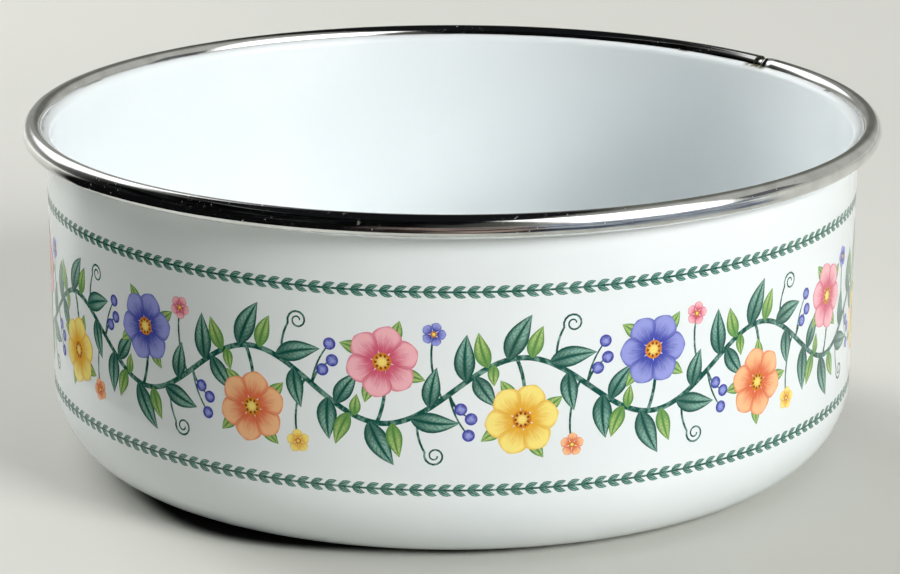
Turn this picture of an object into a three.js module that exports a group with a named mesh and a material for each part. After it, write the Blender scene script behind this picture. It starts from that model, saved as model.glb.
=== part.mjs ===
// A round enamelled steel bowl with a stainless steel band rolled over its lip.
// The bowl is one deep-drawn steel pressing, coated with white vitreous enamel inside and outside.
// The band is one strip, rolled to a slotted oval tube that clasps the turned-out lip.
// Its two ends meet in a slip joint: a necked tongue on one end enters the mouth of the other.
// Millimetres, +Z up. The origin is the centre of the base, on the surface that the bowl stands on.

import * as THREE from "three";

// Driving dimensions of the bowl. Depths are counted from the outer enamel surface inwards.
const bodyDiameter = 208; // outside of the wall, just under the lip
const lipHeight = 85.5; // floor to the middle of the lip's thickness
const wallDraft = 0.3; // degrees that the wall leans outwards
const cornerRadius = 20; // outside radius between wall and base
const standingRingWidth = 14; // flat ring that the bowl stands on, inside the corner
const recessDepth = 1.2; // how far the base panel is pressed up inside that ring
const recessBendRadius = 1.6; // tighter face of each bend in the step round the panel
const lipBendRadius = 0.7; // outside radius under the turned-out lip
const steelThickness = 0.8;
const enamelThickness = 0.3; // each coat
const coatClearance = 0.002; // hairline between the steel and each coat

// Driving dimensions of the rim band and of its slip joint.
const rimWidth = 5.2; // across the oval section, along the bowl's radius
const rimHeight = 5.6; // across the oval section, along Z
const rimThickness = 0.5; // of the strip
const lipClearance = 0.1; // between the lip's faces and the band's edges
const tipClearance = 0.3; // between the lip's tip and the tongue round it
const tongueClearance = 0.2; // between the tongue and the mouth that it enters
const jointAngle = 36.3; // degrees from +X towards +Y to the middle of the open joint
const jointGap = 4.6; // bare tongue between the two ends, along the rim
const neckLength = 0.6; // where the strip is swaged down to the tongue
const tongueReach = 8; // how far the tongue goes into the mouth

// Facets: round the bowl, and along the arcs of its sections.
const facetsRound = 60;
const cornerFacets = 5;
const recessFacets = 2;
const lipFacets = 3;
const ovalFacets = 12;

// Sizes worked out from the driving dimensions.
const sheetThickness = steelThickness + 2 * enamelThickness;
const draft = THREE.MathUtils.degToRad(wallDraft);
const recessBendOuter = recessBendRadius + sheetThickness;
const lipBendHeight = lipHeight - sheetThickness / 2 - lipBendRadius;
const lipBendCentre = bodyDiameter / 2 + lipBendRadius * Math.cos(draft);
const rimRadius = lipBendCentre + rimWidth / 2;
const lipTip = rimRadius + rimWidth / 2 - 2 * rimThickness - tongueClearance - tipClearance;

const arcAngles = (from, to, count) =>
  Array.from({ length: count + 1 }, (_, i) => THREE.MathUtils.lerp(from, to, i / count));

const arc = (centreR, centreZ, radius, from, to, count) =>
  arcAngles(from, to, count).map(
    (a) => new THREE.Vector2(centreR + radius * Math.cos(a), centreZ + radius * Math.sin(a)),
  );

// The surface at one depth below the outer enamel, as radius and height, from the axis to the lip's tip.
// Bends that turn towards the inside of the bowl get tighter with depth, and the others get wider.
function surfaceAt(depth) {
  const down = -Math.PI / 2;
  const up = Math.PI / 2;

  const wallRise = lipBendHeight - cornerRadius + (lipBendRadius + cornerRadius) * Math.sin(draft);
  const cornerCentre = bodyDiameter / 2 - cornerRadius * Math.cos(draft) - wallRise * Math.tan(draft);
  const corner = arc(cornerCentre, cornerRadius, cornerRadius - depth, down, -draft, cornerFacets);
  const lipBend = arc(lipBendCentre, lipBendHeight, lipBendRadius + depth, Math.PI - draft, up, lipFacets);

  const ringInner = cornerCentre - standingRingWidth;
  const stepAngle = Math.acos(1 - recessDepth / (2 * recessBendOuter));
  const panelEdge = ringInner - 2 * recessBendOuter * Math.sin(stepAngle);
  const panelZ = recessDepth - recessBendOuter;
  const wider = recessBendOuter + depth;
  const tighter = recessBendOuter - depth;
  const panelBend = arc(panelEdge, panelZ, wider, up, up - stepAngle, recessFacets);
  const ringBend = arc(ringInner, recessBendOuter, tighter, down - stepAngle, down, recessFacets);

  const centre = new THREE.Vector2(0, recessDepth + depth);
  const tip = new THREE.Vector2(lipTip, lipBendHeight + lipBendRadius + depth);
  return [centre, ...panelBend, ...ringBend.slice(1), ...corner, ...lipBend, tip];
}

// One layer of the bowl's wall, between two depths, turned round the bowl's axis.
function layer(outerDepth, innerDepth) {
  const section = [...surfaceAt(outerDepth), ...surfaceAt(innerDepth).reverse()];
  return new THREE.LatheGeometry(section, facetsRound).rotateX(Math.PI / 2);
}

// Points of an oval with a slot towards the bowl's axis, from the slot's upper edge round to its lower edge.
function slottedOval(halfWidth, halfHeight, halfSlot) {
  const edge = Math.PI - Math.asin(halfSlot / halfHeight);
  return arcAngles(edge, -edge, ovalFacets).map(
    (a) => new THREE.Vector2(halfWidth * Math.cos(a), halfHeight * Math.sin(a)),
  );
}

// The rolled strip's section about its own middle, drawn in from the full oval by one distance all round.
function stripSection(drawnIn) {
  const halfSlot = sheetThickness / 2 + lipClearance;
  const outer = slottedOval(rimWidth / 2 - drawnIn, rimHeight / 2 - drawnIn, halfSlot);
  const bore = drawnIn + rimThickness;
  const inner = slottedOval(rimWidth / 2 - bore, rimHeight / 2 - bore, halfSlot);
  return [...outer, ...inner.reverse()];
}

// Skins a row of sections, each { section, angle }, into one closed solid round the bowl's axis.
function loftRound(stations, radius, height) {
  const size = stations[0].section.length;
  const axis = new THREE.Vector3(0, 0, 1);
  const placed = (p, angle) => new THREE.Vector3(radius + p.x, 0, height + p.y).applyAxisAngle(axis, angle);
  const ring = ({ section, angle }) => section.flatMap((p) => placed(p, angle).toArray());
  const positions = stations.flatMap(ring);
  const index = [];
  for (let s = 0; s + 1 < stations.length; s++) {
    for (let i = 0; i < size; i++) {
      const a = s * size + i;
      const b = s * size + ((i + 1) % size);
      index.push(a, b, a + size, b, b + size, a + size);
    }
  }
  const lastRing = (stations.length - 1) * size;
  for (const [a, b, c] of THREE.ShapeUtils.triangulateShape(stations[0].section, [])) {
    index.push(a, b, c);
  }
  for (const [a, b, c] of THREE.ShapeUtils.triangulateShape(stations.at(-1).section, [])) {
    index.push(lastRing + c, lastRing + b, lastRing + a);
  }
  const geometry = new THREE.BufferGeometry();
  geometry.setAttribute("position", new THREE.Float32BufferAttribute(positions, 3));
  geometry.setIndex(index);
  geometry.computeVertexNormals();
  return geometry;
}

// The band runs once round from its mouth to its shoulder, necks down, and its tongue goes on into the mouth.
function rimBand() {
  const full = stripSection(0);
  const tongue = stripSection(rimThickness + tongueClearance);
  const turn = 2 * Math.PI;
  const facet = turn / facetsRound;
  const middle = THREE.MathUtils.degToRad(jointAngle);
  const mouth = middle + jointGap / 2 / rimRadius;
  const shoulder = middle + turn - jointGap / 2 / rimRadius;
  const neck = shoulder + neckLength / rimRadius;
  const tongueEnd = mouth + turn + tongueReach / rimRadius;
  const leastStep = facet / 6;

  const stations = [{ section: full, angle: mouth }];
  for (let k = Math.ceil((mouth + leastStep) / facet); k * facet < shoulder - leastStep; k++) {
    stations.push({ section: full, angle: k * facet });
  }
  stations.push({ section: full, angle: shoulder });
  stations.push({ section: tongue, angle: neck });
  stations.push({ section: tongue, angle: mouth + turn });
  stations.push({ section: tongue, angle: tongueEnd });
  return loftRound(stations, rimRadius, lipHeight);
}

const pressedSteel = { color: 0x8f9193, roughness: 0.45, metalness: 1 };
const whiteEnamel = { color: 0xf1f3f1, roughness: 0.12, metalness: 0 };
const polishedSteel = { color: 0xc9cac8, roughness: 0.1, metalness: 1 };

function piece(name, geometry, look) {
  const mesh = new THREE.Mesh(geometry, new THREE.MeshStandardMaterial(look));
  mesh.name = name;
  return mesh;
}

const steelOuter = enamelThickness;
const steelInner = enamelThickness + steelThickness;

const bowl = new THREE.Group();
bowl.name = "enamelled_bowl";
bowl.add(
  piece("enamel_outside", layer(0, steelOuter - coatClearance), whiteEnamel),
  piece("steel_shell", layer(steelOuter, steelInner), pressedSteel),
  piece("enamel_inside", layer(steelInner + coatClearance, sheetThickness), whiteEnamel),
  piece("rim_band", rimBand(), polishedSteel),
);

export default bowl;
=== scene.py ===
"""The looks of an enamelled steel bowl with a polished rim band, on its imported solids. Metres, +Z up."""
import math
import random

import bmesh
import bpy
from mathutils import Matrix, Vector


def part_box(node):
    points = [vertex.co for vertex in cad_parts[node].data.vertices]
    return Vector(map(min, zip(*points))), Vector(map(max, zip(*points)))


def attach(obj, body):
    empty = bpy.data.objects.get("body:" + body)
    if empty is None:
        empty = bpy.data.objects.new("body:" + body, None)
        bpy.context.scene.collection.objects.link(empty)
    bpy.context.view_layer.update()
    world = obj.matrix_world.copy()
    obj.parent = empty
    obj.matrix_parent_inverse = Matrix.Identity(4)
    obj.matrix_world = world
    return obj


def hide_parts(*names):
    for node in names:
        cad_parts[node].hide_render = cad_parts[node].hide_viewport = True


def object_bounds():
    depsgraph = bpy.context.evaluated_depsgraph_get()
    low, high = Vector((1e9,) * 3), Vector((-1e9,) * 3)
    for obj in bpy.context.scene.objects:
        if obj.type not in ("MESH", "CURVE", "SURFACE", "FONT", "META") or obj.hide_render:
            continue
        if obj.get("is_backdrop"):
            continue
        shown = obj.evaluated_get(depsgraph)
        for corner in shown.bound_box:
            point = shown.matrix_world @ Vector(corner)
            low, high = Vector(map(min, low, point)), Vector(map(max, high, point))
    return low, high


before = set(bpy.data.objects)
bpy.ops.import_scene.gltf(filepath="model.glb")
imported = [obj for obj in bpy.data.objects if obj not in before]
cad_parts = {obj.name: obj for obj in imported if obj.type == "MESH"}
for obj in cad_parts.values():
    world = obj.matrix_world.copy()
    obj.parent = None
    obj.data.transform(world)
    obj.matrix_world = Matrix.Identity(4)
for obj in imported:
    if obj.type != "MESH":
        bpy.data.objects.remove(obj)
cad_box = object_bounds()

MM = 0.001
TURN = 2 * math.pi

# Sizes that the solids give, with the hairline between the steel and each coat.
COAT_CLEARANCE = 0.002 * MM
outside_low, outside_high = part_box("enamel_outside")
steel_low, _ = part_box("steel_shell")
inside_low, inside_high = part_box("enamel_inside")
_, rim_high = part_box("rim_band")
ENAMEL = steel_low.z - outside_low.z
SHEET = 2 * ENAMEL + inside_low.z - steel_low.z - COAT_CLEARANCE
LIP_TIP = outside_high.x
LIP_MIDDLE = inside_high.z - SHEET / 2
RIM_OUTER = rim_high.x

# Sizes of the bowl, as its solids have them.
BODY_RADIUS = 104 * MM
WALL_DRAFT = math.radians(0.3)
CORNER_RADIUS = 20 * MM
STANDING_RING_WIDTH = 14 * MM
RECESS_DEPTH = 1.2 * MM
RECESS_BEND = 1.6 * MM + SHEET
LIP_BEND = 0.7 * MM

# Sizes of the rim band and of its slip joint.
RIM_WIDTH = 5.2 * MM
RIM_HEIGHT = 5.6 * MM
RIM_THICKNESS = 0.5 * MM
LIP_CLEARANCE = 0.1 * MM
TONGUE_CLEARANCE = 0.2 * MM
JOINT_ANGLE = math.radians(36.3)
JOINT_GAP = 4.6 * MM
NECK_LENGTH = 0.6 * MM
BEAD_RISE = 0.55 * MM
BEAD_END = 0.62
TONGUE_REACH = 8 * MM

# Sizes of the print on the wall.
PRINT_LOW = 20.8 * MM
PRINT_HIGH = 69.0 * MM
BORDER_STEM = 0.5 * MM
BORDER_LEAF = 3.5 * MM
BORDER_LEAF_WIDTH = 1.35 * MM
BORDER_LEAVES_ROUND = 192
UNITS_ROUND = 20
VINE_SWING = 8.0 * MM
VINE_WIDTH = 1.3 * MM
BERRY_RADIUS = 1.5 * MM
BLOSSOM_REACH = 9.0 * MM
BLOSSOM_DROP = 7.0 * MM
FLORET_DROP = 14.0 * MM
FLORET_PETAL = 2.5 * MM
FLORET_OPEN = 0.4 * MM
FLORET_HEART = 0.75 * MM
INK_SINK = 0.05 * MM
INK_LIFT = 0.02 * MM
INK_STEP = 0.003 * MM

# Smoothness of the meshes.
FACETS_ROUND = 288
CORNER_STEPS = 24
BEND_STEPS = 8
OVAL_STEPS = 40
JOINT_STEPS = 32

# Dirt along the seam inside: angle from +X, half length, reach inwards, strength.
SEAM_SPOTS = (
    (JOINT_ANGLE + math.radians(0.5), 5.2 * MM, 1.9 * MM, 1.0),
    (math.radians(51.6), 2.2 * MM, 0.9 * MM, 0.7),
    (math.radians(17.0), 1.8 * MM, 1.2 * MM, 0.8),
)

STEEL_OUTER = ENAMEL
STEEL_INNER = SHEET - ENAMEL
LIP_BEND_HEIGHT = LIP_MIDDLE - SHEET / 2 - LIP_BEND
LIP_BEND_CENTRE = BODY_RADIUS + LIP_BEND * math.cos(WALL_DRAFT)
RIM_RADIUS = RIM_OUTER - RIM_WIDTH / 2
PRINT_MIDDLE = (PRINT_LOW + PRINT_HIGH) / 2


# Shader nodes
class Nodes:
    """A node tree, and short calls that add nodes to it."""

    def __init__(self, tree):
        self.tree = tree

    def node(self, kind, inputs=None, **settings):
        made = self.tree.nodes.new(kind)
        for key, value in settings.items():
            setattr(made, key, value)
        for key, value in (inputs or {}).items():
            self.feed(made.inputs[key], value)
        return made

    def feed(self, socket, value):
        if isinstance(value, bpy.types.NodeSocket):
            self.tree.links.new(value, socket)
        else:
            socket.default_value = value

    def math(self, operation, first, second=0.0, third=0.0):
        return self.node("ShaderNodeMath", {0: first, 1: second, 2: third}, operation=operation).outputs[0]

    def ramp(self, value, low, high, start=0.0, end=1.0):
        inputs = {"Value": value, "From Min": low, "From Max": high, "To Min": start, "To Max": end}
        return self.node("ShaderNodeMapRange", inputs, interpolation_type="SMOOTHSTEP").outputs[0]

    def mix(self, share, first, second):
        return self.node("ShaderNodeMix", {0: share, 6: first, 7: second}, data_type="RGBA").outputs[2]


class Shader(Nodes):
    """A material with one Principled shader."""

    def __init__(self, name):
        self.material = bpy.data.materials.new(name)
        self.material.use_nodes = True
        super().__init__(self.material.node_tree)
        self.principled = self.tree.nodes["Principled BSDF"]

    def set(self, **inputs):
        for key, value in inputs.items():
            self.feed(self.principled.inputs[key.replace("_", " ")], value)

    def place(self):
        return self.node("ShaderNodeTexCoord").outputs["Object"]

    def noise(self, scale, detail=2.0, roughness=0.5, vector=None):
        where = vector or self.place()
        inputs = {"Vector": where, "Scale": scale, "Detail": detail, "Roughness": roughness}
        return self.node("ShaderNodeTexNoise", inputs).outputs[0]

    def bump(self, height, distance, strength=1.0, normal=None):
        inputs = {"Height": height, "Distance": distance, "Strength": strength}
        if normal:
            inputs["Normal"] = normal
        return self.node("ShaderNodeBump", inputs).outputs[0]


def colour(red, green, blue):
    """A linear colour from sRGB values of 0 to 255."""
    shares = (red / 255, green / 255, blue / 255)
    linear = [c / 12.92 if c <= 0.04045 else ((c + 0.055) / 1.055) ** 2.4 for c in shares]
    return (*linear, 1.0)


def radius_and_height(shader):
    split = shader.node("ShaderNodeSeparateXYZ", {0: shader.place()})
    x_square = shader.math("POWER", split.outputs[0], 2)
    y_square = shader.math("POWER", split.outputs[1], 2)
    return shader.math("SQRT", shader.math("ADD", x_square, y_square)), split.outputs[2]


# Materials of the bowl
ENAMEL_ROUGHNESS = 0.1


def enamel_surface(shader):
    """Gloss of fired enamel: a slow ripple that bends reflections, and a fine orange peel."""
    ripple = shader.bump(shader.noise(45, 1), 0.05 * MM, 0.6)
    peel = shader.bump(shader.noise(900, 1), 0.003 * MM, 0.5, ripple)
    shine = shader.ramp(shader.noise(120, 3), 0.3, 0.75, ENAMEL_ROUGHNESS - 0.03, ENAMEL_ROUGHNESS + 0.05)
    shader.set(Roughness=shine, Normal=peel)


def enamel_specks(shader, base):
    """A few dark pinholes of different sizes, as fired enamel has."""
    cells = shader.node("ShaderNodeTexVoronoi", {"Vector": shader.place(), "Scale": 55.0})
    lot = shader.node("ShaderNodeSeparateXYZ", {0: cells.outputs["Color"]})
    chosen = shader.math("GREATER_THAN", lot.outputs[0], 0.94)
    size = shader.ramp(lot.outputs[1], 0, 1, 0.012, 0.028)
    dot = shader.math("LESS_THAN", cells.outputs["Distance"], size)
    share = shader.math("MULTIPLY", shader.math("MULTIPLY", chosen, dot), 0.55)
    return shader.mix(share, base, colour(92, 84, 72))


def white_enamel(name, stained):
    shader = Shader(name)
    cloud = shader.ramp(shader.noise(18, 3), 0.35, 0.7)
    base = shader.mix(cloud, colour(236, 241, 242), colour(231, 237, 238))
    base = enamel_specks(shader, base)
    if stained:
        base = seam_stain(shader, base)
    shader.set(Base_Color=base, IOR=1.52)
    enamel_surface(shader)
    return shader.material


def angle_round(shader):
    split = shader.node("ShaderNodeSeparateXYZ", {0: shader.place()})
    return shader.math("ARCTAN2", split.outputs[1], split.outputs[0])


def seam_stain(shader, base):
    """Brown dirt that gathers where the enamel goes under the rim band, most of all at the slip joint."""
    radius, _ = radius_and_height(shader)
    angle = angle_round(shader)
    seam = RIM_RADIUS - RIM_WIDTH / 2
    patches = shader.ramp(shader.noise(60, 4, 0.6), 0.5, 0.72)
    edge = shader.ramp(radius, seam - 0.9 * MM, seam)
    dirt = shader.math("MULTIPLY", shader.math("MULTIPLY", edge, patches), 0.7)
    ragged = shader.ramp(shader.noise(900, 3, 0.6), 0.25, 0.5)
    for spot_angle, half_length, reach, strength in SEAM_SPOTS:
        offset = shader.math("ABSOLUTE", shader.math("SUBTRACT", angle, spot_angle))
        along = shader.ramp(offset, half_length / seam, 0.5 * half_length / seam)
        inward = shader.ramp(radius, seam - reach, seam - 0.3 * reach)
        spot = shader.math("MULTIPLY", shader.math("MULTIPLY", along, inward), ragged)
        dirt = shader.math("MAXIMUM", dirt, shader.math("MULTIPLY", spot, strength))
    return shader.mix(dirt, base, colour(92, 86, 52))


def polished_steel():
    """Bright rolled strip with marks along it, dents, haze, dull flecks, and dirt together with painted
    shade in its slip joint.
    """
    shader = Shader("polished_steel")
    radius, height = radius_and_height(shader)
    along = shader.node("ShaderNodeCombineXYZ", {0: radius, 1: height})
    marks = shader.noise(9000, 2, 0.6, along.outputs[0])
    haze = shader.noise(140, 4)
    tint = shader.mix(shader.ramp(haze, 0.35, 0.7), colour(232, 233, 232), colour(216, 216, 213))
    hazy = shader.ramp(haze, 0.3, 0.8, 0.04, 0.11)
    shine = shader.math("ADD", hazy, shader.ramp(marks, 0.4, 0.8, 0.0, 0.04))

    flecks = shader.ramp(shader.noise(1000, 3, 0.6), 0.6, 0.76)
    clusters = shader.ramp(shader.noise(45, 2), 0.48, 0.62)
    fleck = shader.math("MULTIPLY", flecks, clusters)
    shine = shader.math("ADD", shine, shader.math("MULTIPLY", fleck, 0.3))
    metal = shader.math("SUBTRACT", 1.0, shader.math("MULTIPLY", fleck, 0.22))

    # Partly dirt and partly painted shade: darker along the cut ends of the slip joint and low on the tongue
    # between them.
    from_joint = shader.math("SUBTRACT", angle_round(shader), JOINT_ANGLE)
    to_edge = shader.math("SUBTRACT", shader.math("ABSOLUTE", from_joint), JOINT_GAP / 2 / RIM_RADIUS)
    near_edge = shader.math("ABSOLUTE", to_edge)
    grime_and_painted_shade = shader.ramp(near_edge, 0.4 * MM / RIM_RADIUS, 0.1 * MM / RIM_RADIUS)
    low = shader.ramp(height, LIP_MIDDLE + 1.6 * MM, LIP_MIDDLE + 0.8 * MM)
    between = shader.ramp(to_edge, 0.0, -0.2 * MM / RIM_RADIUS)
    grime_and_painted_shade = shader.math("MAXIMUM", grime_and_painted_shade, shader.math("MULTIPLY", between, low))
    grime_and_painted_shade = shader.math("MULTIPLY", grime_and_painted_shade, shader.ramp(shader.noise(1400, 2), 0.3, 0.5, 0.6, 1.0))
    tint = shader.mix(grime_and_painted_shade, tint, colour(56, 55, 46))
    shine = shader.math("ADD", shine, shader.math("MULTIPLY", grime_and_painted_shade, 0.45))

    dents = shader.bump(shader.noise(230, 2), 0.03 * MM, 0.5)
    patchy = shader.math("MULTIPLY", shader.noise(1000, 1), shader.ramp(shader.noise(24, 2), 0.45, 0.65))
    pits = shader.bump(patchy, 0.006 * MM, 0.7, dents)
    grain = shader.bump(marks, 0.002 * MM, 0.5, pits)
    shader.set(Base_Color=tint, Metallic=metal, Roughness=shine, Normal=grain)
    return shader.material


def pressed_steel():
    shader = Shader("pressed_steel")
    mottle = shader.noise(160, 4)
    shader.set(
        Base_Color=shader.mix(mottle, colour(126, 128, 130), colour(150, 151, 152)),
        Metallic=1.0,
        Roughness=shader.ramp(mottle, 0.3, 0.7, 0.38, 0.55),
    )
    return shader.material


# Meshes
def mesh_object(name, points, faces, material, map_places=None):
    mesh = bpy.data.meshes.new(name)
    mesh.from_pydata(points, [], faces)
    if map_places:
        layer = mesh.uv_layers.new(name="Shape")
        for loop in mesh.loops:
            layer.data[loop.index].uv = map_places[loop.vertex_index]
    edit = bmesh.new()
    edit.from_mesh(mesh)
    bmesh.ops.recalc_face_normals(edit, faces=edit.faces)
    edit.to_mesh(mesh)
    edit.free()
    mesh.materials.append(material)
    mesh.shade_smooth()
    made = bpy.data.objects.new(name, mesh)
    bpy.context.collection.objects.link(made)
    return made


def sharpen(piece, angle):
    piece.data.set_sharp_from_angle(angle=math.radians(angle))


def spread(start, end, count):
    return [start + (end - start) * i / count for i in range(count + 1)]


def arc(centre_r, centre_z, radius, start, end, count):
    angles = spread(start, end, count)
    return [(centre_r + radius * math.cos(a), centre_z + radius * math.sin(a)) for a in angles]


def surface_at(depth):
    """Radius and height of the surface at a depth below the outer enamel, from axis to lip."""
    down = -math.pi / 2
    up = math.pi / 2
    rise = LIP_BEND_HEIGHT - CORNER_RADIUS + (LIP_BEND + CORNER_RADIUS) * math.sin(WALL_DRAFT)
    corner_centre = BODY_RADIUS - CORNER_RADIUS * math.cos(WALL_DRAFT) - rise * math.tan(WALL_DRAFT)
    corner = arc(corner_centre, CORNER_RADIUS, CORNER_RADIUS - depth, down, -WALL_DRAFT, CORNER_STEPS)
    lip = arc(LIP_BEND_CENTRE, LIP_BEND_HEIGHT, LIP_BEND + depth, math.pi - WALL_DRAFT, up, BEND_STEPS)
    ring_inner = corner_centre - STANDING_RING_WIDTH
    step = math.acos(1 - RECESS_DEPTH / (2 * RECESS_BEND))
    panel_edge = ring_inner - 2 * RECESS_BEND * math.sin(step)
    panel = arc(panel_edge, RECESS_DEPTH - RECESS_BEND, RECESS_BEND + depth, up, up - step, BEND_STEPS)
    ring = arc(ring_inner, RECESS_BEND, RECESS_BEND - depth, down - step, down, BEND_STEPS)
    wall = [tuple(Vector(corner[-1]).lerp(Vector(lip[0]), t)) for t in spread(0, 1, 8)[1:-1]]
    tip = (LIP_TIP, LIP_BEND_HEIGHT + LIP_BEND + depth)
    return [(0.0, RECESS_DEPTH + depth), *panel, *ring[1:], *corner, *wall, *lip, tip]


def turned(name, section, material):
    """A solid of revolution from a section that starts and ends on the axis."""
    inner = section[1:-1]
    points = [(0, 0, section[0][1]), (0, 0, section[-1][1])]
    for k in range(FACETS_ROUND):
        a = TURN * k / FACETS_ROUND
        points += [(r * math.cos(a), r * math.sin(a), z) for r, z in inner]
    faces = []
    for k in range(FACETS_ROUND):
        here = 2 + k * len(inner)
        there = 2 + (k + 1) % FACETS_ROUND * len(inner)
        faces.append((0, here, there))
        faces.append((1, there + len(inner) - 1, here + len(inner) - 1))
        for i in range(len(inner) - 1):
            faces.append((here + i, here + i + 1, there + i + 1, there + i))
    made = mesh_object(name, points, faces, material)
    sharpen(made, 40)
    return made


def bowl_layer(name, outer_depth, inner_depth, material):
    return turned(name, surface_at(outer_depth) + surface_at(inner_depth)[::-1], material)


# Rim band
def slotted_oval(half_width, half_height, half_slot):
    edge = math.pi - math.asin(half_slot / half_height)
    return [(half_width * math.cos(a), half_height * math.sin(a)) for a in spread(edge, -edge, OVAL_STEPS)]


def strip_section(drawn_in):
    half_slot = SHEET / 2 + LIP_CLEARANCE
    bore = drawn_in + RIM_THICKNESS
    outer = slotted_oval(RIM_WIDTH / 2 - drawn_in, RIM_HEIGHT / 2 - drawn_in, half_slot)
    inner = slotted_oval(RIM_WIDTH / 2 - bore, RIM_HEIGHT / 2 - bore, half_slot)
    return outer + inner[::-1]


def joint_inset(share):
    """How far the strip is drawn in across its open joint, from the shoulder at 0 to the mouth at 1.

    It necks down to the tongue, which swells to a bead on the shoulder's side."""
    neck = min(share * JOINT_GAP / NECK_LENGTH, 1.0)
    bead = math.sin(math.pi * min(share / BEAD_END, 1.0)) ** 2
    return (RIM_THICKNESS + TONGUE_CLEARANCE) * neck * neck * (3 - 2 * neck) - BEAD_RISE * bead * neck


def rim_band(material):
    """The strip from its mouth round to its shoulder, its open joint, and its tongue back in the mouth."""
    mouth = JOINT_ANGLE + JOINT_GAP / 2 / RIM_RADIUS
    shoulder = JOINT_ANGLE + TURN - JOINT_GAP / 2 / RIM_RADIUS
    stations = [(a, 0.0) for a in spread(mouth, shoulder, FACETS_ROUND)]
    for share in spread(0, 1, JOINT_STEPS)[1:]:
        stations.append((shoulder + share * JOINT_GAP / RIM_RADIUS, joint_inset(share)))
    tongue_end = mouth + TURN + TONGUE_REACH / RIM_RADIUS
    stations += [(a, joint_inset(1.0)) for a in spread(mouth + TURN, tongue_end, 6)[1:]]
    points = []
    for angle, inset in stations:
        for r, z in strip_section(inset):
            reach = RIM_RADIUS + r
            points.append((reach * math.cos(angle), reach * math.sin(angle), LIP_MIDDLE + z))
    size = len(strip_section(0.0))
    faces = []
    for s in range(len(stations) - 1):
        for i in range(size):
            j = (i + 1) % size
            faces.append((s * size + i, s * size + j, (s + 1) * size + j, (s + 1) * size + i))
    half = size // 2
    for start in (0, (len(stations) - 1) * size):
        for i in range(half - 1):
            faces.append((start + i, start + i + 1, start + size - 2 - i, start + size - 1 - i))
    made = mesh_object("rim_band_strip", points, faces, material)
    sharpen(made, 50)
    return made


# Print on the wall
def wall_radius(height):
    return BODY_RADIUS - (LIP_BEND_HEIGHT - height) * math.tan(WALL_DRAFT)


PRINT_RADIUS = wall_radius(PRINT_MIDDLE)
PRINT_LENGTH = TURN * PRINT_RADIUS
UNIT = PRINT_LENGTH / UNITS_ROUND


def on_wall(along, height, lift):
    """The place at a distance along the print, counted to the right from the front, and at a height."""
    a = along / PRINT_RADIUS
    r = wall_radius(height) + lift
    return (r * math.sin(a), -r * math.cos(a), height)


class Ink:
    """The printed shapes of one colour, as thin closed tiles. A higher ply lies over those below it."""

    def __init__(self, name, material, ply, plies=1):
        self.name = name
        self.material = material
        self.ply = ply
        self.plies = plies
        self.laid = 0
        self.points = []
        self.faces = []
        self.map_places = []

    def tile(self, rows, closed=False):
        """Lays one shape: a grid of (along, height, u, v), joined end to end if closed."""
        lift = INK_LIFT + INK_STEP * (self.ply + self.laid % self.plies)
        self.laid += 1
        first = len(self.points)
        across = len(rows[0])
        count = len(rows)
        for level in (lift, -INK_SINK):
            for row in rows:
                for along, height, u, v in row:
                    self.points.append(on_wall(along, height, level))
                    self.map_places.append((u, v))
        under = count * across

        def at(i, j):
            return first + i % count * across + j

        last = count if closed else count - 1
        for i in range(last):
            for j in range(across - 1):
                quad = (at(i, j), at(i, j + 1), at(i + 1, j + 1), at(i + 1, j))
                self.faces.append(quad)
                self.faces.append(tuple(k + under for k in quad[::-1]))
        edge = []
        for i in range(last):
            edge.append((at(i, 0), at(i + 1, 0)))
            edge.append((at(i + 1, across - 1), at(i, across - 1)))
        if not closed:
            for j in range(across - 1):
                edge.append((at(0, j + 1), at(0, j)))
                edge.append((at(count - 1, j), at(count - 1, j + 1)))
        for a, b in edge:
            self.faces.append((a, b, b + under, a + under))

    def piece(self):
        made = mesh_object(self.name, self.points, self.faces, self.material, self.map_places)
        sharpen(made, 30)
        return made


def dot(ink, place, radius, sides=20):
    """A round spot. Its map place tells how far out a point lies, and in which direction."""
    rows = []
    for k in range(sides):
        a = TURN * k / sides
        row = []
        for t in (0.04, 0.55, 1.0):
            along = place[0] + t * radius * math.cos(a)
            height = place[1] + t * radius * math.sin(a)
            row.append((along, height, t, k / sides))
        rows.append(row)
    ink.tile(rows, closed=True)


def stroke(ink, path, start_width, end_width):
    """A line along a path of (along, height), which tapers from one width to another."""
    rows = []
    for i, (along, height) in enumerate(path):
        before = Vector(path[max(i - 1, 0)])
        after = Vector(path[min(i + 1, len(path) - 1)])
        side = (after - before).normalized().orthogonal()
        t = i / (len(path) - 1)
        half = (start_width + (end_width - start_width) * t) / 2
        row = []
        for v in (-1, 0, 1):
            row.append((along + side.x * half * v, height + side.y * half * v, t, v / 2 + 0.5))
        rows.append(row)
    ink.tile(rows)


def bowed(start, end, sag, steps=8):
    """A path from one place to another that bows out to its left by a sag."""
    chord = Vector(end) - Vector(start)
    side = Vector((-chord.y, chord.x)).normalized()
    path = []
    for t in spread(0, 1, steps):
        place = Vector(start) + chord * t + side * (sag * 4 * t * (1 - t))
        path.append((place.x, place.y))
    return path


def blade(ink, place, direction, length, width, bend=0.0, fullest=0.4, tip=1.0, steps=14, across=6):
    """A leaf or petal: its midline bends by an angle, and its width is fullest part of the way along.

    A tip below 1 makes the ends rounder."""
    power = math.log(0.5) / math.log(fullest)
    rows = []
    x, z = place
    before = 0.0
    for i in range(steps + 1):
        t = (1 - math.cos(math.pi * i / steps)) / 2
        angle = direction + bend * t
        x += math.cos(angle) * length * (t - before)
        z += math.sin(angle) * length * (t - before)
        before = t
        half = width / 2 * max(math.sin(math.pi * t ** power), 0.001) ** tip
        row = []
        for v in spread(-1, 1, across):
            row.append((x - math.sin(angle) * half * v, z + math.cos(angle) * half * v, t, v / 2 + 0.5))
        rows.append(row)
    ink.tile(rows)


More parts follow.
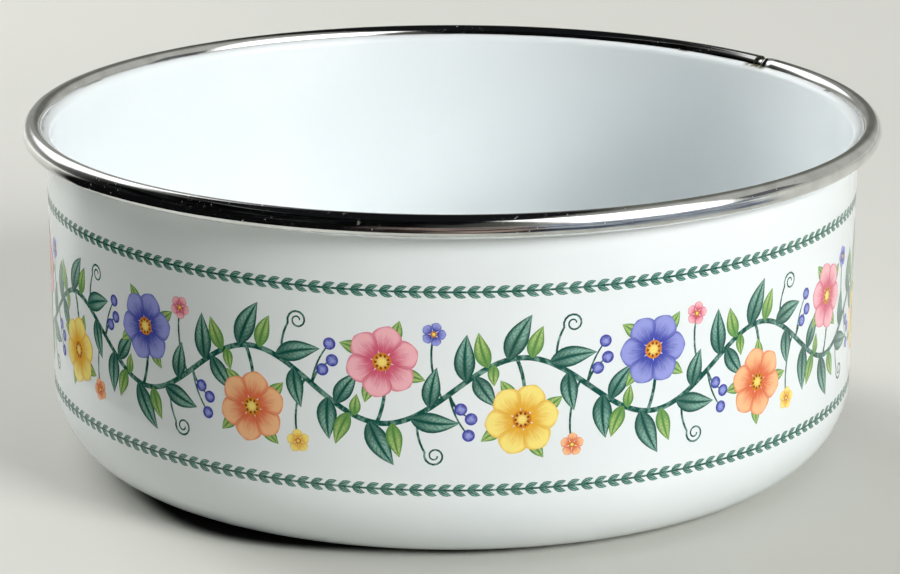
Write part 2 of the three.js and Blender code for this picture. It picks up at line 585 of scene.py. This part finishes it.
def ring_line(ink, height, width):
    """A plain line right round the bowl."""
    rows = []
    for k in range(FACETS_ROUND):
        share = k / FACETS_ROUND
        rows.append([(share * PRINT_LENGTH, height + v * width / 2, share, v / 2 + 0.5) for v in (-1, 1)])
    ink.tile(rows, closed=True)


def ink_surface(shader, base):
    shader.set(Base_Color=base, IOR=1.52)
    enamel_surface(shader)
    return shader.material


def map_place(shader):
    shape = shader.node("ShaderNodeUVMap", uv_map="Shape")
    split = shader.node("ShaderNodeSeparateXYZ", {0: shape.outputs[0]})
    return split.outputs[0], split.outputs[1]


def leaf_ink(name, dark, light):
    """Dark along the edges and the midrib, lighter between, with side veins and a stippled grain."""
    shader = Shader(name)
    u, v = map_place(shader)
    off_middle = shader.math("ABSOLUTE", shader.math("SUBTRACT", v, 0.5))
    half = shader.math("MULTIPLY", off_middle, 2.0)
    body = shader.math("MULTIPLY", shader.ramp(half, 0.04, 0.3), shader.ramp(half, 0.95, 0.5))
    lengthwise = shader.ramp(u, 0.1, 0.65, 0.25, 1.0)
    vein_phase = shader.math("ADD", shader.math("MULTIPLY", u, 9.0), shader.math("MULTIPLY", half, -2.2))
    veins = shader.ramp(shader.math("PINGPONG", vein_phase, 0.5), 0.0, 0.16, 0.45, 1.0)
    grain = shader.ramp(shader.noise(2600, 2), 0.35, 0.65, 0.55, 1.0)
    along = shader.math("MULTIPLY", body, lengthwise)
    light_share = shader.math("MULTIPLY", along, shader.math("MULTIPLY", veins, grain))
    return ink_surface(shader, shader.mix(light_share, dark, light))


def petal_ink(name, deep, pale):
    """Deep at the root, with streaks that run out towards a paler edge."""
    shader = Shader(name)
    u, v = map_place(shader)
    streak_place = shader.node(
        "ShaderNodeCombineXYZ", {0: shader.math("MULTIPLY", u, 1.5), 1: shader.math("MULTIPLY", v, 9.0)}
    )
    streaks = shader.noise(1.6, 3, 0.6, streak_place.outputs[0])
    reach = shader.math("ADD", u, shader.math("MULTIPLY", shader.math("SUBTRACT", streaks, 0.5), 0.7))
    outward = shader.ramp(reach, 0.15, 0.75)
    off_middle = shader.math("ABSOLUTE", shader.math("SUBTRACT", v, 0.5))
    sides = shader.ramp(off_middle, 0.34, 0.5, 1.0, 0.35)
    rim = shader.ramp(u, 0.9, 1.0, 1.0, 0.45)
    pale_share = shader.math("MULTIPLY", outward, shader.math("MULTIPLY", rim, sides))
    return ink_surface(shader, shader.mix(pale_share, deep, pale))


def berry_ink(name, deep, pale):
    """A small round fruit with a soft light spot and a darker edge."""
    shader = Shader(name)
    u, _ = map_place(shader)
    grain = shader.ramp(shader.noise(1500, 2), 0.3, 0.7, -0.15, 0.15)
    pale_share = shader.ramp(shader.math("ADD", u, grain), 0.95, 0.15)
    return ink_surface(shader, shader.mix(pale_share, deep, pale))


def heart_ink(name, deep, pale, dark):
    """The middle of a blossom, with a ring of dark stamens."""
    shader = Shader(name)
    u, v = map_place(shader)
    base = shader.mix(shader.ramp(u, 0.9, 0.2), deep, pale)
    beat = shader.ramp(shader.math("PINGPONG", shader.math("MULTIPLY", v, 9.0), 0.5), 0.2, 0.3)
    ring = shader.math("MULTIPLY", shader.ramp(u, 0.5, 0.6), shader.ramp(u, 0.86, 0.78))
    return ink_surface(shader, shader.mix(shader.math("MULTIPLY", beat, ring), base, dark))


def line_ink(name, dark, light):
    """A green line whose tone comes and goes, as a worn plate prints it."""
    shader = Shader(name)
    tone = shader.math("MULTIPLY", shader.ramp(shader.noise(700, 3), 0.42, 0.72), 0.6)
    return ink_surface(shader, shader.mix(tone, dark, light))


TEAL = colour(20, 80, 69)
MINT = colour(146, 190, 173)
LEAF_GREEN = colour(84, 140, 72)
LIGHT_LEAF = colour(186, 208, 128)


class Garland:
    """The print: a wavy vine with leaves, berries and blossoms, between two borders of small leaves."""

    def __init__(self):
        self.draw = random.Random(11)
        self.lines = Ink("print_lines", line_ink("teal_line", TEAL, MINT), 0)
        self.leaves = Ink("print_leaves", leaf_ink("teal_leaf", TEAL, MINT), 1, 3)
        self.young_leaves = Ink("print_young_leaves", leaf_ink("light_leaf", LEAF_GREEN, LIGHT_LEAF), 4, 3)
        blue = (colour(64, 70, 160), colour(150, 158, 220))
        self.berries = Ink("print_berries", berry_ink("berry_blue", *blue), 7, 3)
        heart = (colour(214, 132, 40), colour(248, 222, 120), colour(128, 62, 24))
        self.hearts = Ink("print_hearts", heart_ink("blossom_heart", *heart), 16)
        self.blossoms = []
        for name, deep, pale in (
            ("yellow", colour(232, 172, 56), colour(251, 230, 130)),
            ("blue", colour(66, 74, 168), colour(152, 158, 222)),
            ("peach", colour(224, 108, 70), colour(249, 192, 142)),
            ("pink", colour(212, 88, 116), colour(247, 184, 192)),
        ):
            self.blossoms.append(Ink("print_" + name, petal_ink("petal_" + name, deep, pale), 10, 6))
        self.border(PRINT_LOW)
        self.border(PRINT_HIGH)
        self.vine()
        for unit in range(UNITS_ROUND):
            self.unit(unit)

    def inks(self):
        return [self.lines, self.leaves, self.young_leaves, self.berries, *self.blossoms, self.hearts]

    def border(self, height):
        ring_line(self.lines, height, BORDER_STEM)
        for k in range(BORDER_LEAVES_ROUND):
            place = (PRINT_LENGTH * k / BORDER_LEAVES_ROUND, height)
            for side in (-1, 1):
                turn = side * math.radians(34)
                size = (BORDER_LEAF, BORDER_LEAF_WIDTH)
                blade(self.leaves, place, turn, *size, -turn * 0.6, 0.5, steps=6, across=2)

    def vine(self):
        steps = 24
        rows = []
        for k in range(UNITS_ROUND * steps):
            phase = math.pi * k / steps
            along = k * UNIT / steps
            height = PRINT_MIDDLE + VINE_SWING * math.sin(phase)
            slope = math.atan(VINE_SWING * math.pi / UNIT * math.cos(phase))
            row = []
            for v in (-1, 0, 1):
                half = v * VINE_WIDTH / 2
                place = (along - math.sin(slope) * half, height + math.cos(slope) * half)
                row.append((*place, k / steps, v / 2 + 0.5))
            rows.append(row)
        self.lines.tile(rows, closed=True)

    def unit(self, number):
        """One swing of the vine. Its own heights count towards the side to which the vine swings."""
        side = 1 if number % 2 == 0 else -1
        start = number * UNIT

        def at(along, height):
            return (start + along, PRINT_MIDDLE + side * height)

        def on_vine(share):
            return at(share * UNIT, VINE_SWING * math.sin(math.pi * share))

        def slope(share):
            return math.atan(VINE_SWING * math.pi / UNIT * math.cos(math.pi * share))

        def leaf(ink, share, turn, length, width):
            wobble = math.radians(self.draw.uniform(-5, 5))
            bend = math.radians(self.draw.uniform(12, 26)) * (-1 if turn > 0 else 1)
            angle = side * (slope(share) + math.radians(turn) + wobble)
            grown = length * self.draw.uniform(0.94, 1.06)
            blade(ink, on_vine(share), angle, grown * MM, width * MM, side * bend)

        for share, turn, length, width in (
            (0.1, 64, 11.0, 5.0),
            (0.4, 60, 12.0, 5.4),
            (0.7, 46, 11.5, 5.0),
            (0.16, -100, 9.5, 4.4),
            (0.84, -56, 9.5, 4.4),
        ):
            leaf(self.leaves, share, turn, length, width)
        for share, turn, length, width in (
            (0.26, 96, 8.5, 3.9),
            (0.57, 90, 8.5, 3.9),
            (0.3, -120, 5.5, 2.8),
        ):
            leaf(self.young_leaves, share, turn, length, width)

        self.berry_sprig(at, on_vine(0.98), side)
        self.tendril(at, on_vine(0.76), side)
        middle = at(0.5 * UNIT, -BLOSSOM_DROP)
        stroke(self.lines, bowed(on_vine(0.46), middle, side * 1.2 * MM), 0.9 * MM, 0.7 * MM)
        self.blossom(self.blossoms[number % 4], middle, BLOSSOM_REACH)
        bud = at(0.87 * UNIT, -FLORET_DROP)
        stroke(self.lines, bowed(on_vine(0.93), bud, -side * 1.4 * MM), 0.6 * MM, 0.45 * MM)
        self.floret(self.blossoms[(number + 2) % 4], bud)

    def berry_sprig(self, at, root, side):
        for along, height in ((34.6, 4.2), (37.0, 6.6), (36.4, 10.6)):
            berry = at(along * MM, height * MM)
            stroke(self.lines, bowed(root, berry, side * 0.8 * MM), 0.55 * MM, 0.35 * MM)
            dot(self.berries, berry, BERRY_RADIUS)

    def tendril(self, at, root, side):
        """A stalk that ends in a curl."""
        centre = Vector((28.5, 15.6)) * MM
        curl = []
        for t in spread(0, 1, 22):
            turn = math.radians(200 - 560 * t)
            reach = (2.5 - 1.9 * t) * MM
            curl.append(at(centre.x + reach * math.cos(turn), centre.y + reach * math.sin(turn)))
        stalk = bowed(root, curl[0], side * 0.9 * MM)
        stroke(self.lines, stalk[:-1] + curl, 0.6 * MM, 0.35 * MM)

    def blossom(self, ink, middle, reach):
        turn = self.draw.uniform(0, TURN)
        for k in range(4):
            angle = turn + TURN * (k + 0.5) / 4
            place = self.out_from(middle, angle, reach * 0.5)
            blade(self.young_leaves, place, angle, reach * 0.72, reach * 0.36, math.radians(14), 0.45)
        for k in range(6):
            angle = turn + TURN * k / 6
            place = self.out_from(middle, angle, reach * 0.12)
            blade(ink, place, angle, reach * 0.86, reach * 0.8, 0.0, 0.62, 0.7)
        dot(self.hearts, middle, reach * 0.25, 24)

    def floret(self, ink, middle):
        turn = self.draw.uniform(0, TURN)
        for k in range(5):
            angle = turn + TURN * k / 5
            place = self.out_from(middle, angle, FLORET_OPEN)
            blade(ink, place, angle, FLORET_PETAL, FLORET_PETAL, 0.0, 0.62, 0.7, 8, 4)
        dot(self.hearts, middle, FLORET_HEART, 16)

    def out_from(self, middle, angle, distance):
        return (middle[0] + math.cos(angle) * distance, middle[1] + math.sin(angle) * distance)


# Object
outer_look = white_enamel("outer_enamel", False)
steel_look = pressed_steel()
inner_look = white_enamel("inner_enamel", True)
for name, node, outer_depth, inner_depth, material in (
    ("outer_enamel", "enamel_outside", 0.0, STEEL_OUTER - COAT_CLEARANCE, outer_look),
    ("steel_core", "steel_shell", STEEL_OUTER, STEEL_INNER, steel_look),
    ("inner_enamel", "enamel_inside", STEEL_INNER + COAT_CLEARANCE, SHEET, inner_look),
):
    coat = bowl_layer(name, outer_depth, inner_depth, material)
    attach(coat, "root")
    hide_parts(node)
    "pressed_steel" if node == "steel_shell" else node

band = rim_band(polished_steel())
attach(band, "root")
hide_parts("rim_band")

for ink in Garland().inks():
    shapes = ink.piece()
    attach(shapes, "root")


# Stage
FLOOR_RADIUS = 9.0
FLOOR_RINGS = 12
FLOOR_FADE_START = 1.6
FLOOR_FADE_END = 4.2
DIFFUSE_ROOM = 0.2
WALL_RISE_LEFT = 0.75
WALL_RISE_RIGHT = 2.0
HORIZON = colour(210, 210, 203)
BLACK = colour(0, 0, 0)
WHITE = colour(255, 255, 255)

# The painted dark foot of the bowl's shadow: where it is full, where it ends, and its swell away from the
# key lamp.
FOOT_FULL = 85.5 * MM
FOOT_END = 91.5 * MM
FOOT_SWELL = 8.0 * MM
FOOT_ANGLE = math.radians(-38)
FOOT_SPREAD = math.radians(34)
FOOT_DRAWN_IN = 3.0 * MM
FOOT_BRIGHT_ANGLE = math.radians(25)


def angle_from_front(shader):
    """The angle about the bowl's axis, counted from the camera's side towards the right."""
    split = shader.node("ShaderNodeSeparateXYZ", {0: shader.place()})
    return shader.math("ARCTAN2", split.outputs[0], shader.math("MULTIPLY", split.outputs[1], -1.0))


def ring_mesh(name, radii, heights, start, end, material, sides=96):
    """Rings about the bowl's axis, joined. Angles are counted from the camera's side towards the right."""
    closed = end - start >= 360
    points = []
    for radius, height in zip(radii, heights):
        for k in range(sides + 1):
            a = math.radians(start + (end - start) * k / sides)
            points.append((radius * math.sin(a), -radius * math.cos(a), height))
    across = sides + 1
    faces = []
    for i in range(len(radii) - 1):
        for k in range(sides):
            here = i * across + k
            faces.append((here, here + 1, here + 1 + across, here + across))
    made = mesh_object(name, points, faces, material)
    if closed:
        weld = bmesh.new()
        weld.from_mesh(made.data)
        bmesh.ops.remove_doubles(weld, verts=weld.verts, dist=1e-6)
        weld.to_mesh(made.data)
        weld.free()
    made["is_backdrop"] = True
    return made


def painted_shadow_foot(shader, radius):
    """How dark the board is painted close under the bowl's round corner, as a painted shadow."""
    angle = angle_from_front(shader)
    off = shader.math("ABSOLUTE", shader.math("SUBTRACT", angle, FOOT_ANGLE))
    swell = shader.ramp(off, FOOT_SPREAD, 0.0, 0.0, FOOT_SWELL)
    drawn_in = shader.ramp(angle, 0.0, FOOT_BRIGHT_ANGLE, 0.0, FOOT_DRAWN_IN)
    reach = shader.math("ADD", shader.math("SUBTRACT", radius, swell), drawn_in)
    return shader.ramp(reach, FOOT_END, FOOT_FULL)


def floor():
    """A pale board that goes over into the pale of the room far off, with a painted shadow close under the
    bowl.
    """
    shader = Shader("pale_board")
    radius, _ = radius_and_height(shader)
    far = shader.ramp(radius, FLOOR_FADE_START, FLOOR_FADE_END)
    cloud = shader.ramp(shader.noise(3, 3), 0.3, 0.7)
    near = shader.mix(cloud, colour(209, 209, 203), colour(205, 206, 199))
    # Painted shadow: the board's colour goes dark close under the bowl's corner.
    near = shader.mix(painted_shadow_foot(shader, radius), near, colour(26, 26, 25))
    shader.set(
        Base_Color=shader.mix(far, near, BLACK),
        Emission_Color=HORIZON,
        Emission_Strength=far,
        Roughness=0.75,
        Specular_IOR_Level=0.2,
    )
    radii = [FLOOR_RADIUS * (k / FLOOR_RINGS) ** 2 for k in range(1, FLOOR_RINGS + 1)]
    ring_mesh("floor", [0.0, *radii], [0.0] * (FLOOR_RINGS + 1), 0, 360, shader.material)


def hide_from_camera(made):
    """Leaves a stage piece to the polish and the gloss alone."""
    made.visible_camera = False
    made.visible_diffuse = False
    made.visible_shadow = False


def card(name, radii, heights, start, end, fade, paint, glows=False):
    """A card round part of the stage that only the polish and the gloss see, with ends that fade out."""
    shader = Shader(name)
    angle = angle_from_front(shader)
    begins = shader.ramp(angle, math.radians(start), math.radians(start + fade))
    ends = shader.ramp(angle, math.radians(end), math.radians(end - fade))
    body = shader.math("MULTIPLY", begins, ends)
    shader.set(Alpha=body, Roughness=1.0, Specular_IOR_Level=0.0)
    if glows:
        shader.set(Base_Color=BLACK, Emission_Color=paint(shader, angle), Emission_Strength=1.0)
    else:
        shader.set(Base_Color=paint(shader, angle))
    hide_from_camera(ring_mesh(name, radii, heights, start, end, shader.material))


def clouded(shader, scale, low, high, dark, light):
    """Two colours in soft clouds."""
    return shader.mix(shader.ramp(shader.noise(scale, 3, 0.6), low, high), dark, light)


def lying_paint(shader, angle):
    """Black on the left, brownish in front, blue-grey to the right."""
    cloud = shader.ramp(shader.noise(9, 3, 0.6), 0.4, 0.62)
    brown = shader.mix(cloud, colour(34, 29, 28), colour(168, 150, 142))
    blue = shader.mix(cloud, colour(76, 88, 106), colour(176, 182, 190))
    front = shader.ramp(angle, math.radians(-24), math.radians(-10))
    right = shader.ramp(angle, math.radians(14), math.radians(26))
    return shader.mix(right, shader.mix(front, colour(12, 12, 13), brown), blue)


def standing_paint(shader, angle):
    return clouded(shader, 1.1, 0.45, 0.75, colour(8, 8, 9), colour(46, 49, 52))


def low_paint(shader, angle):
    return clouded(shader, 2.2, 0.4, 0.7, colour(86, 99, 118), colour(150, 160, 172))


def side_paint(shader, angle):
    return clouded(shader, 2.2, 0.35, 0.65, colour(88, 91, 93), colour(122, 123, 121))


def aim(made, azimuth, elevation, distance):
    """Turns a lamp or panel to the bowl. Azimuth is counted from the camera's side towards the right."""
    a = math.radians(azimuth)
    e = math.radians(elevation)
    direction = Vector((math.sin(a) * math.cos(e), -math.cos(a) * math.cos(e), math.sin(e)))
    made.location = Vector((0, 0, LIP_MIDDLE / 2)) + direction * distance
    made.rotation_euler = direction.to_track_quat("Z", "Y").to_euler()


def panel(name, azimuth, elevation, distance, width, height, strength, edge):
    """A bright panel that only the polish and the gloss see, which fades out over the edge round it."""
    shader = Shader(name)
    split = shader.node("ShaderNodeSeparateXYZ", {0: shader.place()})
    body = 1.0
    for across, size in ((split.outputs[0], width), (split.outputs[1], height)):
        fade = shader.ramp(shader.math("ABSOLUTE", across), size / 2 + edge / 2, size / 2 - edge / 2)
        body = shader.math("MULTIPLY", body, fade)
    shader.set(Base_Color=BLACK, Emission_Color=WHITE, Emission_Strength=strength, Alpha=body)
    x = (width + edge) / 2
    y = (height + edge) / 2
    corners = [(-x, -y, 0), (x, -y, 0), (x, y, 0), (-x, y, 0)]
    made = mesh_object(name, corners, [(0, 1, 2, 3)], shader.material)
    aim(made, azimuth, elevation, distance)
    hide_from_camera(made)
    made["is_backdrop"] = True


def softbox(name, azimuth, elevation, distance, width, height, power):
    """A lamp that brightens what it faces. The polish and the gloss don't show it."""
    data = bpy.data.lights.new(name, "AREA")
    data.shape = "RECTANGLE"
    data.size = width
    data.size_y = height
    data.energy = power
    lamp = bpy.data.objects.new(name, data)
    aim(lamp, azimuth, elevation, distance)
    lamp.visible_camera = False
    lamp.visible_glossy = False
    bpy.context.collection.objects.link(lamp)


def room():
    """A room that is pale at the horizon, with a grey wall above it, lighter at the sides.

    It is dark overhead. The wall goes higher at the sides, most on the right."""
    world = bpy.data.worlds.new("room")
    bpy.context.scene.world = world
    world.use_nodes = True
    nodes = Nodes(world.node_tree)
    direction = nodes.node("ShaderNodeTexCoord").outputs["Generated"]
    x, _, z = nodes.node("ShaderNodeSeparateXYZ", {0: direction}).outputs

    left_height = nodes.math("MULTIPLY_ADD", x, WALL_RISE_LEFT, z)
    right_height = nodes.math("MULTIPLY_ADD", x, -WALL_RISE_RIGHT, z)
    height = nodes.math("MINIMUM", left_height, right_height)
    grey = nodes.mix(nodes.ramp(x, -0.14, 0.06), colour(152, 153, 149), colour(108, 110, 103))
    grey = nodes.mix(nodes.ramp(x, 0.2, 0.5), grey, colour(184, 184, 179))
    wall = nodes.mix(nodes.ramp(z, 0.0, 0.12), HORIZON, grey)
    sky = nodes.mix(nodes.ramp(height, 0.34, 0.5), wall, colour(22, 23, 25))

    diffuse_ray = nodes.node("ShaderNodeLightPath").outputs["Is Diffuse Ray"]
    background = world.node_tree.nodes["Background"]
    nodes.feed(background.inputs["Color"], sky)
    nodes.feed(background.inputs["Strength"], nodes.math("MULTIPLY_ADD", diffuse_ray, DIFFUSE_ROOM - 1, 1.0))


floor()
card("lying_card", [0.165, 0.3, 0.6, 1.4, 3.4], [0.0005] * 5, -120, 84, 16, lying_paint)
card("standing_card", [3.4, 3.4], [0.0, 5.0], -146, 34, 46, standing_paint)
card("low_card", [3.2, 3.2], [0.0, 0.55], 14, 92, 14, low_paint, glows=True)
card("side_card", [2.4, 2.4], [0.55, 1.5], 80, 104, 4, side_paint, glows=True)
room()
panel("key_panel", 53, 32, 2.6, 2.2, 2.8, 2.4, 0.5)
panel("back_panel", 216, 31, 2.5, 1.45, 1.3, 1.7, 0.4)
softbox("key", 46, 26, 2.6, 1.0, 0.9, 60)
softbox("back", 216, 31, 2.5, 1.45, 1.3, 19)
softbox("overhead", 0, 89, 3.0, 3.0, 3.0, 32)
softbox("left", -130, 24, 2.6, 1.2, 1.2, 45)

# Camera
CAMERA_TARGET = Vector((-0.5 * MM, 0, 40.59 * MM))
CAMERA_DISTANCE = 0.886
CAMERA_ELEVATION = math.radians(15.95)
CAMERA_LENS = 135.7

camera_data = bpy.data.cameras.new("camera")
camera_data.lens = CAMERA_LENS
camera_data.sensor_width = 36
camera = bpy.data.objects.new("camera", camera_data)
back = Vector((0, -math.cos(CAMERA_ELEVATION), math.sin(CAMERA_ELEVATION)))
camera.location = CAMERA_TARGET + back * CAMERA_DISTANCE
camera.rotation_euler = back.to_track_quat("Z", "Y").to_euler()
bpy.context.collection.objects.link(camera)
bpy.context.scene.camera = camera
bpy.context.scene.view_settings.view_transform = "Standard"

boxes = {"cad": cad_box, "visual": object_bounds()}
{key: [list(corner) for corner in box] for key, box in boxes.items()}
